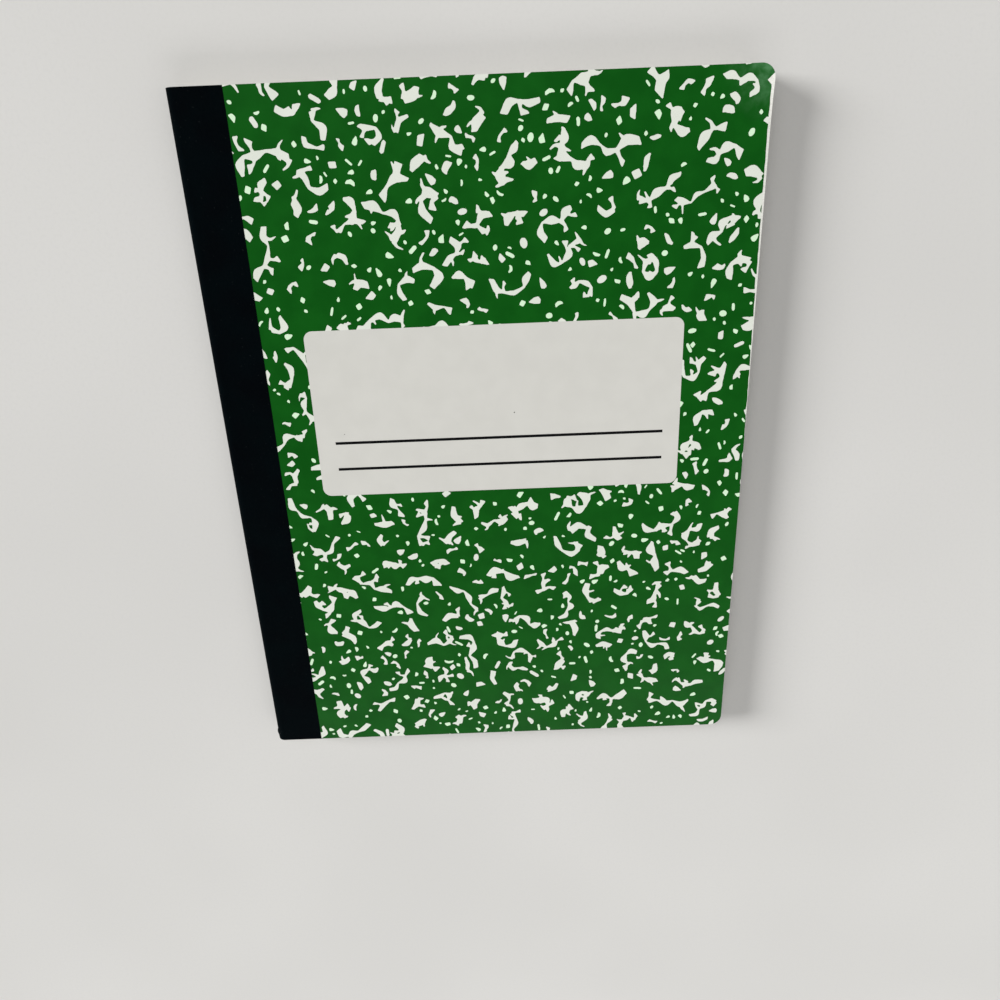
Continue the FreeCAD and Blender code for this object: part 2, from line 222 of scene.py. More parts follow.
def printed(name, tone, darker, painted_sheen=None):
    """Ink or bare white under the cover's thin gloss coat, with a lighter painted sheen near the bent
    corner when that colour is given.
    """
    n = Nodes(name, roughness=0.36, specular=0.08)
    place = n.place()
    mottle = n.ramp(n.noise(place, size=9, detail=3), 0.3, 0.7)
    colour = n.mix(mottle, tone, darker)
    grain = n.noise(place, size=0.35)
    # Painted sheen: the colour turns lighter in soft clouds near the bent corner
    if painted_sheen:
        away = n.add("ShaderNodeVectorMath", operation="DISTANCE")
        n.join(place, away.inputs[0])
        away.inputs[1].default_value = (BENT_CORNER[0] * MM, BENT_CORNER[1] * MM, BOARD_TOP * MM)
        near = n.ramp(away.outputs["Value"], SHEEN_REACH * MM, SHEEN_FULL * MM)
        sheen_cloud = n.ramp(n.noise(place, size=5, detail=4, roughness=0.6), 0.35, 0.75, to_low=0.1)
        colour = n.mix(n.maths("MULTIPLY", near, sheen_cloud), colour, painted_sheen)
    n.colour(colour)
    n.rough(n.ramp(n.noise(place, size=14, detail=3), 0.3, 0.7, to_low=0.32, to_high=0.44))
    n.bump(grain, depth=0.006)
    return n.material


def plain_paper(name, tone, darker, roughness, grain_size, grain_depth):
    """Uncoated paper or bare board, with its fibres."""
    n = Nodes(name, roughness, specular=0.2)
    place = n.place()
    fibres = n.noise(place, grain_size, detail=4, roughness=0.65, stretch=(2.2, 1, 1))
    n.colour(n.mix(n.ramp(fibres, 0.3, 0.72), tone, darker))
    n.rough(n.ramp(fibres, 0.3, 0.7, to_low=roughness - 0.05, to_high=roughness + 0.05))
    n.bump(fibres, grain_depth)
    return n.material


GREEN = printed("green_ink_and_sheen", linear(8, 80, 14), linear(4, 73, 10), painted_sheen=linear(70, 118, 76))
WHITE = printed("white_ground", linear(217, 221, 211), linear(212, 217, 206))
PALE = printed("pale_chips", linear(209, 235, 204), linear(203, 229, 197))
LABEL = printed("label_panel", linear(203, 202, 196), linear(200, 199, 193))
LINE = printed("line_ink", linear(4, 4, 6), linear(8, 8, 10))
RAW = plain_paper("bare_board", linear(226, 226, 220), linear(206, 205, 197),
                  roughness=0.8, grain_size=0.4, grain_depth=0.05)
INSIDE = plain_paper("cover_lining", linear(224, 223, 216), linear(214, 212, 204),
                     roughness=0.7, grain_size=0.6, grain_depth=0.02)
COVER_MATERIALS = [GREEN, WHITE, PALE, LABEL, LINE, RAW, INSIDE]
IS_GREEN, IS_WHITE, IS_PALE, IS_LABEL, IS_LINE, IS_RAW, IS_INSIDE = range(7)


def make_tape_material():
    """Black cloth tape, with its threads and a few pale specks, fixed to the closed book's shape."""
    n = Nodes("tape_cloth", roughness=0.5, specular=0.03)
    place = n.place("rest")
    weave = n.noise(place, size=0.5, detail=3, roughness=0.6, stretch=(1, 2.2, 1))
    specks = n.ramp(n.noise(place, size=0.7, detail=1), 0.74, 0.8)
    mottle = n.ramp(n.noise(place, size=12, detail=3), 0.3, 0.7)
    base = n.mix(mottle, linear(0, 4, 6), linear(0, 2, 4))
    n.colour(n.mix(specks, base, linear(22, 24, 25)))
    n.rough(n.ramp(weave, 0.3, 0.7, to_low=0.66, to_high=0.8))
    n.bump(weave, depth=0.03)
    return n.material


RULE_PITCH = 7.1
RULE_TOP = 98.0
RULE_HALF_WIDTH = 0.16
MARGIN_X = -60.0
MARGIN_HALF_WIDTH = 0.2


def make_leaf_material():
    """Ruled writing paper: pale blue rules across and a red margin line by the spine."""
    n = Nodes("ruled_leaf", roughness=0.75, specular=0.2)
    place = n.place()
    apart = n.add("ShaderNodeSeparateXYZ")
    n.join(place, apart.inputs[0])
    fibres = n.noise(place, size=0.6, detail=4, roughness=0.6)
    paper = n.mix(n.ramp(fibres, 0.3, 0.7), linear(229, 229, 224), linear(220, 220, 213))
    from_top = n.maths("SUBTRACT", apart.outputs["Y"], RULE_TOP * MM)
    from_rule = n.maths("PINGPONG", from_top, RULE_PITCH / 2 * MM)
    rule = n.ramp(from_rule, RULE_HALF_WIDTH * MM, RULE_HALF_WIDTH / 2 * MM)
    below_head = n.ramp(apart.outputs["Y"], (RULE_TOP + 0.4) * MM, (RULE_TOP + 0.2) * MM, smooth=False)
    ruled = n.mix(n.maths("MULTIPLY", rule, below_head), paper, linear(132, 170, 206))
    from_margin = n.maths("ABSOLUTE", n.maths("SUBTRACT", apart.outputs["X"], MARGIN_X * MM), 0.0)
    margin = n.ramp(from_margin, MARGIN_HALF_WIDTH * MM, MARGIN_HALF_WIDTH / 2 * MM)
    n.colour(n.mix(margin, ruled, linear(214, 120, 128)))
    n.bump(fibres, depth=0.01)
    return n.material


def make_leaf_edge_material():
    """The trimmed edges of the leaves, each a little lighter or darker than the next."""
    n = Nodes("leaf_edges", roughness=0.85, specular=0.1)
    place = n.place()
    layer = n.noise(place, size=0.12, detail=1, stretch=(60, 60, 1))
    fibres = n.noise(place, size=0.3, detail=3)
    tone = n.mix(n.ramp(layer, 0.25, 0.75), linear(228, 226, 219), linear(196, 193, 184))
    n.colour(n.mix(n.ramp(fibres, 0.35, 0.8, to_high=0.5), tone, linear(206, 203, 194)))
    n.bump(layer, depth=0.03)
    return n.material


def make_thread_material():
    """Pale sewing thread, with painted shade in the grooves of its twist as darker slanting bands."""
    n = Nodes("twisted_thread", roughness=0.8, specular=0.2)
    place = n.place()
    twist = n.add("ShaderNodeTexWave", wave_type="BANDS", bands_direction="DIAGONAL")
    n.join(place, twist.inputs["Vector"])
    twist.inputs["Scale"].default_value = 900
    twist.inputs["Distortion"].default_value = 1.5
    # Painted shade: the grooves of the twist are darker bands in the colour
    twist_shade = n.ramp(twist.outputs["Fac"], 0.2, 0.8)
    n.colour(n.mix(twist_shade, linear(206, 202, 192), linear(232, 229, 220)))
    n.bump(twist.outputs["Fac"], depth=0.06)
    return n.material


TAPE = make_tape_material()
LEAF = make_leaf_material()
LEAF_EDGE = make_leaf_edge_material()
THREAD = make_thread_material()


def new_piece(name, points, faces, kinds, materials, sharp=30):
    """A mesh object from points in millimetres, smooth up to the sharp angle in degrees."""
    mesh = bpy.data.meshes.new(name)
    mesh.from_pydata([tuple(p) for p in np.asarray(points, float) * MM], [], [tuple(f) for f in faces])
    for material in materials:
        mesh.materials.append(material)
    mesh.polygons.foreach_set("material_index", np.asarray(kinds, np.int32))
    mesh.shade_smooth()
    mesh.set_sharp_from_angle(angle=math.radians(sharp))
    mesh.update()
    return placed(name, mesh)


# The marbled print: branching strokes, hooks and loose chips dropped on a grid of paint.
# STEP is the grid's cell, PAD its margin round the cover, and ROUNDING softens the corners.
STEP = 0.15
PAD = 4.0
ROUNDING = 0.2
RIBBON_STEPS = 6
CURVE_SHARE = 0.3


def ribbon(points, widths, grow, slant):
    """Outline of a bent stroke whose width changes along it, its ends cut at a slant."""
    points = np.asarray(points, float)
    knots = np.vstack([2 * points[0] - points[1], points, 2 * points[-1] - points[-2]])
    line, wide = [], []
    for i in range(len(points) - 1):
        p0, p1, p2, p3 = knots[i:i + 4]
        for t in np.linspace(0, 1, RIBBON_STEPS, endpoint=False):
            cubic = 3 * p1 - p0 - 3 * p2 + p3
            square = 2 * p0 - 5 * p1 + 4 * p2 - p3
            curved = 0.5 * (2 * p1 + (p2 - p0) * t + square * t ** 2 + cubic * t ** 3)
            straight = p1 + (p2 - p1) * t
            line.append(straight + (curved - straight) * CURVE_SHARE)
            ease = t * t * (3 - 2 * t)
            wide.append(widths[i] * (1 - ease) + widths[i + 1] * ease)
    line = np.array(line + [points[-1]])
    wide = np.array(wide + [widths[-1]]) + 2 * grow
    along = np.gradient(line, axis=0)
    along /= np.linalg.norm(along, axis=1)[:, None] + TINY
    line[0] -= along[0] * grow
    line[-1] += along[-1] * grow
    side = np.stack([-along[:, 1], along[:, 0]], 1) * wide[:, None] / 2
    left, right = line + side, line - side
    for end in (0, -1):
        shift = along[end] * slant[end] * wide[end]
        left[end] += shift
        right[end] -= shift
    return np.vstack([left, right[::-1]])


def inside(outline, grid_x, grid_y):
    """Which of the grid's points lie in the outline, by its winding."""
    ax, ay, bx, by = np.hstack([outline, np.roll(outline, -1, 0)]).T[..., None]
    x, y = grid_x.ravel(), grid_y.ravel()
    across = (bx - ax) * (y - ay) - (x - ax) * (by - ay)
    from_low, to_low = ay <= y, by <= y
    turns = (from_low & ~to_low & (across > 0)).sum(0) - (~from_low & to_low & (across < 0)).sum(0)
    return (turns != 0).reshape(grid_x.shape)


def turned(outline, angle):
    """The outline turned anticlockwise about its origin."""
    c, s = math.cos(angle), math.sin(angle)
    return np.asarray(outline) @ np.array([[c, s], [-s, c]])


def towards(angle):
    """A step of length one at that angle."""
    return np.array([math.cos(angle), math.sin(angle)])


CHIP_SHARES = {"diamond": 0.18, "grain": 0.16, "drop": 0.2, "moon": 0.1, "kite": 0.17, "oval": 0.19}


def chip(rng, low, high, gap):
    """A small loose chip: a diamond, grain, drop, half moon, kite or oval of that area."""
    kind = rng.choice(list(CHIP_SHARES), p=list(CHIP_SHARES.values()))
    a, b = rng.uniform(0, 1, 2)
    c, d = rng.uniform(-1, 1, 2)
    if kind == "diamond":
        long, wide = 0.85 + 0.35 * a, 0.7 + 0.3 * b
        outline = [(long, 0), (0.2 * c, wide), (-long, 0), (0.2 * d, -wide)]
    elif kind == "grain":
        long, wide = 1.2 + 0.5 * a, 0.42 + 0.2 * b
        outline = [(long, 0.1), (0.7 * long, wide), (-0.8 * long, 0.75 * wide),
                   (-long, -0.2), (-0.6 * long, -wide), (0.8 * long, -0.8 * wide)]
    elif kind == "drop":
        long, wide = 1.1 + 0.5 * a, 0.65 + 0.3 * b
        outline = [(long, 0), (0.1, 0.8 * wide), (-0.7, wide),
                   (-1, 0.1), (-0.75, -0.8 * wide), (0.2, -0.75 * wide)]
    elif kind == "moon":
        long, wide = 1.0 + 0.4 * a, 0.8 + 0.3 * b
        outline = [(long, -0.4), (0.75 * long, 0.4 * wide), (0.1, 0.8 * wide),
                   (-0.75 * long, 0.45 * wide), (-long, -0.4), (0, -0.2 - 0.2 * c)]
    elif kind == "kite":
        outline = [(1.0 + 0.5 * a, 0.3 * c), (0.15 + 0.15 * d, 0.7 + 0.3 * b),
                   (-0.8 - 0.3 * b, 0.45 - 0.25 * c), (-0.75 + 0.25 * d, -0.5 - 0.4 * a)]
    else:
        long, wide = 1.0 + 0.35 * a, 0.7 + 0.25 * b
        outline = [(long * math.cos(t), wide * math.sin(t)) for t in np.arange(10) * math.tau / 10]
    outline = np.array(outline, float)
    x, y = outline.T
    area = abs(np.sum(x * np.roll(y, -1) - y * np.roll(x, -1))) / 2
    outline *= math.sqrt(rng.uniform(low, high) / area)
    outline -= outline.mean(0)
    reach = np.linalg.norm(outline, axis=1).mean()
    return [outline], [outline * (1 + gap / reach)]


# A hook's width at its four points, thick or thin along it, and how common each form is
HOOK_WIDTHS = {"bone": (1.35, 0.7, 0.75, 1.3), "wedge": (0.45, 0.75, 1.1, 1.5),
               "belly": (0.6, 1.3, 1.25, 0.5), "neck": (1.5, 1.1, 0.5, 1.0)}
HOOK_SHARES = [0.25, 0.3, 0.2, 0.25]


def hook(rng, short, long, gap):
    """One bent stroke: a hook, crescent, wave or dog bone."""
    step = rng.uniform(short, long) / 3
    bend, sway = rng.uniform(-0.85, 0.85), rng.uniform(-0.5, 0.5)
    heading, points = 0.0, [np.zeros(2)]
    for i in range(3):
        points.append(points[-1] + step * towards(heading))
        heading += bend + sway * (-1) ** i
    form = rng.choice(list(HOOK_WIDTHS), p=HOOK_SHARES)
    widths = rng.uniform(1.1, 1.8) * np.array(HOOK_WIDTHS[form]) * rng.uniform(0.85, 1.15, 4)
    points = np.array(points) - np.mean(points, 0)
    slant = rng.uniform(-0.4, 0.4, 2)
    return [ribbon(points, widths, 0.0, slant)], [ribbon(points, widths, gap, slant)]


def branching(rng, low, high, gap):
    """Blobs joined by narrow necks, with limbs that flare or taper."""
    steps = int(rng.integers(low, high + 1))
    reach, width = rng.uniform(2.5, 3.7), rng.uniform(1.5, 2.3)
    heading, side = 0.0, rng.choice([-1, 1])
    points, widths = [np.zeros(2)], [width * rng.uniform(0.5, 1.1)]
    for i in range(steps):
        points.append(points[-1] + reach * rng.uniform(0.75, 1.25) * towards(heading))
        if rng.random() < 0.45:
            side = -side
        heading += side * rng.uniform(0.25, 1.25)
        widths.append(width * (rng.uniform(1.0, 1.75) if i % 2 == 0 else rng.uniform(0.32, 0.64)))
    if steps % 2 == 0:
        widths[-1] = width * rng.uniform(0.9, 1.4)
    strokes = [(points, widths)]
    for _ in range(int(rng.integers(1, 1 + steps))):
        i = int(rng.integers(1, len(points)))
        before = points[i] - points[i - 1]
        angle = math.atan2(before[1], before[0]) + rng.choice([-1, 1]) * rng.uniform(1.0, 2.1)
        half = reach * rng.uniform(0.75, 1.5) / 2
        bent = points[i] + half * towards(angle)
        tip = bent + half * towards(angle + rng.uniform(-0.9, 0.9))
        end = rng.uniform(0.8, 1.5) if rng.random() < 0.5 else rng.uniform(0.12, 0.32)
        limb = [rng.uniform(0.7, 1.0), rng.uniform(0.36, 0.6), end]
        strokes.append(([points[i], bent, tip], [width * share for share in limb]))
    centre = np.vstack([s[0] for s in strokes]).mean(0)
    plain, wide = [], []
    for line, sizes in strokes:
        slant = rng.uniform(-0.35, 0.35, 2)
        plain.append(ribbon(np.array(line) - centre, sizes, 0.0, slant))
        wide.append(ribbon(np.array(line) - centre, sizes, gap, slant))
    return plain, wide


# Each kind of shape: its maker, how many per 1000 square millimetres, two sizes, and the gap
# it keeps. The sizes are steps for branching strokes, lengths for hooks and areas for chips.
PRINT_SHAPES = [
    (branching, 2.5, 4, 6, 0.95),
    (branching, 3.2, 2, 3, 0.9),
    (hook, 3.1, 3.2, 6.0, 0.75),
    (chip, 2.3, 4.0, 7.5, 0.85),
    (chip, 4.6, 2.4, 4.5, 0.85),
    (chip, 4.0, 1.4, 2.6, 0.85),
    (chip, 3.5, 0.9, 1.5, 0.8),
]
TAIL_SHRINK = 0.09
PALE_BELOW = 4.5
PLACE_MARGIN = 3.0
TRIES_PER_SHAPE = 60
BORDER_CELLS = 2


def smoothed(field, sigma):
    """The grid's values blurred by that many millimetres."""
    reach = int(3 * sigma / STEP) + 1
    weights = np.exp(-0.5 * (np.arange(-reach, reach + 1) * STEP / sigma) ** 2)
    weights /= weights.sum()
    padded = np.pad(field, reach)
    rows = sum(w * padded[:, i:i + field.shape[1]] for i, w in enumerate(weights))
    return sum(w * rows[i:i + field.shape[0], :] for i, w in enumerate(weights))


class Print:
    """The print on one cover: where it is white, and where the small pale chips are."""

    def __init__(self, seed, low, high, clear=None):
        self.low, self.high = np.asarray(low, float), np.asarray(high, float)
        self.origin = self.low - PAD
        size = ((self.high - self.low + 2 * PAD) / STEP).astype(int) + 1
        self.paint = np.zeros(size[::-1], bool)
        self.small = np.zeros(size[::-1], bool)
        rng = np.random.default_rng(seed)
        kept_clear = self.cells(np.asarray(clear)) if clear is not None else None
        if kept_clear:
            self.paint[kept_clear[0]] |= kept_clear[1]
        for make, density, small, large, gap in PRINT_SHAPES:
            self.scatter(rng, make, density, small, large, gap)
        if kept_clear:
            self.paint[kept_clear[0]] &= ~kept_clear[1]
        self.field = smoothed(self.paint.astype(float), ROUNDING) - 0.5
        self.field[:BORDER_CELLS] = self.field[-BORDER_CELLS:] = -0.5
        self.field[:, :BORDER_CELLS] = self.field[:, -BORDER_CELLS:] = -0.5

    def cells(self, outline):
        """The part of the grid round an outline, and its cells inside it."""
        low = np.floor((outline.min(0) - self.origin) / STEP).astype(int) - 1
        high = np.ceil((outline.max(0) - self.origin) / STEP).astype(int) + 2
        low, high = np.maximum(low, 0), np.minimum(high, self.paint.shape[::-1])
        if (high <= low).any():
            return None
        grid_y, grid_x = np.mgrid[low[1]:high[1], low[0]:high[0]] * STEP
        found = inside(outline, grid_x + self.origin[0], grid_y + self.origin[1])
        return (slice(low[1], high[1]), slice(low[0], high[0])), found

    def laid(self, outlines, scale, angle, place):
        """The cells inside each outline once it is scaled, turned and laid at that place."""
        covered = (self.cells(scale * turned(outline, angle) + place) for outline in outlines)
        return [cells for cells in covered if cells]

    def scatter(self, rng, make, density, small, large, gap):
        """Drops shapes where they keep the gap to what is there already."""
        low, high = self.low - PLACE_MARGIN, self.high + PLACE_MARGIN
        wanted = int(density * np.prod(high - low) / 1000)
        for _ in range(wanted * TRIES_PER_SHAPE):
            if wanted == 0:
                break
            place = rng.uniform(low, high)
            angle = rng.uniform(0, math.tau)
            cell = ((place - self.origin) / STEP).astype(int)
            tailward = (self.high[1] - place[1]) / (self.high[1] - self.low[1])
            if self.paint[cell[1], cell[0]]:
                continue
            scale = 1 - TAIL_SHRINK * tailward
            plain, wide = make(rng, small, large, gap)
            room = self.laid(wide, scale, angle, place)
            if any((self.paint[part] & found).any() for part, found in room):
                continue
            wanted -= 1
            for part, found in self.laid(plain, scale, angle, place):
                self.paint[part] |= found
            if make is chip and large <= PALE_BELOW:
                for part, found in room:
                    self.small[part] |= found

    def level(self, points):
        """The field at those points, and whether each is on a small chip."""
        place = (np.asarray(points) - self.origin) / STEP
        cell = np.clip(place.astype(int), 0, np.array(self.paint.shape[::-1]) - 2)
        fx, fy = (place - cell).T
        j, i = cell.T
        field = self.field
        low = field[i, j] * (1 - fx) + field[i, j + 1] * fx
        high = field[i + 1, j] * (1 - fx) + field[i + 1, j + 1] * fx
        return low * (1 - fy) + high * fy, self.small[i, j]

    def outlines(self):
        """Closed outlines of the white shapes, traced between the grid's cells."""
        white = self.field > 0
        crossing = {}

        def point(i, j, down):
            key = (i, j, down)
            if key not in crossing:
                a, b = self.field[i, j], self.field[i + down, j + 1 - down]
                t = a / (a - b)
                crossing[key] = self.origin + STEP * np.array([j + t * (1 - down), i + t * down])
            return key

        near = {}
        mixed = white[:-1, :-1].astype(int) + white[1:, :-1] + white[:-1, 1:] + white[1:, 1:]
        for i, j in zip(*np.nonzero((mixed > 0) & (mixed < 4))):
            a, b, c, d = white[i, j], white[i, j + 1], white[i + 1, j + 1], white[i + 1, j]
            cuts = []
            if a != b:
                cuts.append(point(i, j, 0))
            if b != c:
                cuts.append(point(i, j + 1, 1))
            if c != d:
                cuts.append(point(i + 1, j, 0))
            if d != a:
                cuts.append(point(i, j, 1))
            if len(cuts) == 4 and a:
                cuts = cuts[3:] + cuts[:3]
            for p, q in zip(cuts[::2], cuts[1::2]):
                near.setdefault(p, []).append(q)
                near.setdefault(q, []).append(p)
        loops = []
        while near:
            start = next(iter(near))
            loop, here = [start], start
            while True:
                onward = [q for q in near.pop(here) if q in near]
                if not onward:
                    break
                here = onward[0]
                loop.append(here)
            loops.append(np.array([crossing[k] for k in loop]))
        return loops


def thinned(loop, tolerance):
    """The same closed outline with fewer points, none further off than the tolerance."""
    if len(loop) < 6:
        return loop
    closed = np.vstack([loop, loop[:1]])
    far = int(np.argmax(np.linalg.norm(loop - loop[0], axis=1)))
    kept = {0, far, len(loop)}
    spans = [(0, far), (far, len(loop))]
    while spans:
        a, b = spans.pop()
        if b - a < 2:
            continue
        chord = closed[b] - closed[a]
        off = closed[a + 1:b] - closed[a]
        gap = np.abs(chord[0] * off[:, 1] - chord[1] * off[:, 0]) / (np.linalg.norm(chord) + TINY)
        worst = int(np.argmax(gap))
        if gap[worst] > tolerance:
            middle = a + 1 + worst
            kept.add(middle)
            spans += [(a, middle), (middle, b)]
    return closed[sorted(kept)[:-1]]


# Covers: the name panel with its lines and specks, and the bare strip along the fore edge
LABEL_LOW = at(33.9, 110.8)
LABEL_HIGH = at(166.3, 171.7)
LABEL_CORNER = 3.0
LINE_ENDS = (at(40.6, 0)[0], at(160.3, 0)[0])
LINE_HEIGHTS = (at(0, 131.1)[1], at(0, 121.1)[1])
LINE_WIDTH = 1.04
SPECKS = [(at(106.4, 140.2), 0.23), (at(44.2, 134.4), 0.16)]
SPECK_SIDES = 7
WORN_WIDTH = 0.9
WORN_LENGTH = 118.0
WORN_STEP = 1.5
WORN_RAGGED = 0.08
WORN_LEAST = 0.05
WORN_FADE = 0.8
WORN_SEED = 11
NOTCH_BELOW_HEAD = 2.9
NOTCH = [(0.25, 0.0), (2.2, 1.9), (0.9, 3.2)]
NOTCH_LENGTH = 4.0

# How finely the covers are cut
CORNER_STEPS = 8
OUTLINE_TOLERANCE = 0.025
SMALLEST_OUTLINE = 8
LONGEST_EDGE = 4.0
BENT_GRID_TOP = 0.8
BENT_GRID_LOW = 1.2
JUST_INSIDE = 0.999
ON_TAPE = 0.01
PAST_TAPE = 5.0
MERGE_WITHIN = 1e-5
WHOLE_HULL = 0
FRONT_SEED = 7
BACK_SEED = 23


def rounded_box(low, high, radii):
    """Outline of a rectangle, anticlockwise from its lower left corner, with those corner radii."""
    corners = [(low[0], low[1]), (high[0], low[1]), (high[0], high[1]), (low[0], high[1])]
    inward = [(1, 1), (-1, 1), (-1, -1), (1, -1)]
    points = []
    for k, ((x, y), (sx, sy), r) in enumerate(zip(corners, inward, radii)):
        if r == 0:
            points.append((x, y))
            continue
        for t in np.linspace(0, math.pi / 2, CORNER_STEPS + 1):
            angle = math.pi + k * math.pi / 2 + t
            points.append((x + sx * r + r * math.cos(angle), y + sy * r + r * math.sin(angle)))
    return np.array(points)


def divided(outline):
    """The outline with extra points, so that no side is too long."""
    points = []
    for a, b in zip(outline, np.roll(outline, -1, 0)):
        parts = max(1, int(math.ceil(np.linalg.norm(b - a) / LONGEST_EDGE)))
        points += [a + (b - a) * t for t in np.arange(parts) / parts]
    return np.array(points)


def lift(points):
    """How far the bent corner stands up at those places."""
    x, y = np.asarray(points, float)[:, :2].T
    from_fore, from_head = HALF_WIDTH - x, HALF_HEIGHT - y
    length = math.hypot(CREASE_HEAD, CREASE_FORE)
    beyond = (CREASE_HEAD * CREASE_FORE - from_fore * CREASE_FORE - from_head * CREASE_HEAD) / length
    return CORNER_LIFT * np.maximum(beyond, 0) ** 2


def triangulate(loops, loose=()):
    """Triangles over everything the loops enclose, keeping every side of every loop."""
    points, sides = [], []
    for loop in loops:
        first = len(points)
        points += [Vector(p) for p in loop]
        count = len(loop)
        sides += [(first + k, first + (k + 1) % count) for k in range(count)]
    points += [Vector(p) for p in loose]
    made = delaunay_2d_cdt(points, sides, [], WHOLE_HULL, MERGE_WITHIN, False)
    return np.array([(p.x, p.y) for p in made[0]]), np.array(made[2])


def rim(faces):
    """The sides that only one face has, each running the way its face does."""
    sides = {(a, b) for f in faces for a, b in zip(f, list(f[1:]) + [f[0]])}
    return [(a, b) for a, b in sides if (b, a) not in sides]


class Mesh:
    """Points, faces and each face's material, gathered piece by piece."""

    def __init__(self):
        self.points, self.faces, self.kinds = [], [], []
        self.index = {}

    def point(self, x, y, z):
        """The number of the point at that place, which is made only once."""
        key = (round(float(x), 4), round(float(y), 4), round(float(z), 4))
        if key not in self.index:
            self.index[key] = len(self.points)
            self.points.append((float(x), float(y), float(z)))
        return self.index[key]

    def face(self, corners, kind):
        """Adds a face, unless two of its corners are the same point."""
        if len(set(corners)) == len(corners):
            self.faces.append(tuple(corners))
            self.kinds.append(kind)


def flat_faces(mesh, places, faces, kinds, z, upward):
    """Adds level triangles at that height, facing up or down."""
    for face, kind in zip(faces, kinds):
        corners = [mesh.point(*places[k], z) for k in face]
        mesh.face(corners if upward else corners[::-1], kind)


def print_face(front, seed):
    """The printed face beyond the tape, as triangles that are each ink, white, panel or bare."""
    low = (TAPE_EDGE_TAIL - 1, -HALF_HEIGHT)
    high = (HALF_WIDTH, HALF_HEIGHT)
    pattern = Print(seed, low, high, BARE_PRINT if front else None)
    edge = rounded_box(low, high, (0, CORNER_RADIUS, CORNER_RADIUS, 0))
    edge[0][0], edge[-1][0] = TAPE_EDGE_TAIL, TAPE_EDGE_HEAD
    edge = divided(edge)
    traced = [loop for loop in pattern.outlines() if len(loop) > SMALLEST_OUTLINE]
    loops = [edge] + [thinned(loop, OUTLINE_TOLERANCE) for loop in traced]
    label = rounded_box(LABEL_LOW, LABEL_HIGH, [LABEL_CORNER] * 4)
    half = LINE_WIDTH / 2
    lines = [rounded_box((LINE_ENDS[0], y - half), (LINE_ENDS[1], y + half), [0] * 4)
             for y in LINE_HEIGHTS]
    turns = np.arange(SPECK_SIDES) * math.tau / SPECK_SIDES
    specks = [centre + radius * np.array([towards(t) for t in turns]) for centre, radius in SPECKS]
    worn = worn_strip()
    loose = []
    if front:
        loops += [label, *lines, *specks, worn]
        corner_x = np.arange(HALF_WIDTH - CREASE_HEAD - 1, HALF_WIDTH, BENT_GRID_TOP)
        corner_y = np.arange(HALF_HEIGHT - CREASE_FORE - 1, HALF_HEIGHT, BENT_GRID_TOP)
        loose = spread_inside(edge, corner_x, corner_y)
    places, faces = triangulate(loops, loose)
    centres = places[faces].mean(1)
    kept = inside(edge, *centres.T)
    faces, centres = faces[kept], centres[kept]
    level, small = pattern.level(centres)
    kinds = np.where(level > 0, np.where(small, IS_PALE, IS_WHITE), IS_GREEN)
    if front:
        kinds[inside(label, *centres.T)] = IS_LABEL
        for mark in lines + specks:
            kinds[inside(mark, *centres.T)] = IS_LINE
        kinds[inside(worn, *centres.T)] = IS_RAW
    return places, faces, kinds


def spread_inside(outline, xs, ys):
    """A grid of loose points, kept where they lie in the outline."""
    x, y = (v.ravel() for v in np.meshgrid(xs, ys))
    kept = inside(outline, x, y)
    return list(zip(x[kept], y[kept]))


def worn_strip():
    """The bare strip along the fore edge, notched at the head and worn to nothing below."""
    rng = np.random.default_rng(WORN_SEED)
    tip = HALF_HEIGHT - NOTCH_BELOW_HEAD
    heights = np.arange(tip - NOTCH_LENGTH, tip - WORN_LENGTH, -WORN_STEP)
    share = (tip - heights) / WORN_LENGTH
    ragged = rng.uniform(-WORN_RAGGED, WORN_RAGGED, len(heights))
    widths = np.maximum(WORN_WIDTH * (1 - share) ** WORN_FADE + ragged, WORN_LEAST)
    inner = [(HALF_WIDTH - inset, tip - drop) for inset, drop in NOTCH]
    inner += [(HALF_WIDTH - w, y) for w, y in zip(widths, heights)]
    # Its outer side lies off the cover, whose own edge cuts it
    outside = HALF_WIDTH + 0.5
    return np.array([(outside, tip + 0.3), *inner, (outside, heights[-1] - 2)])


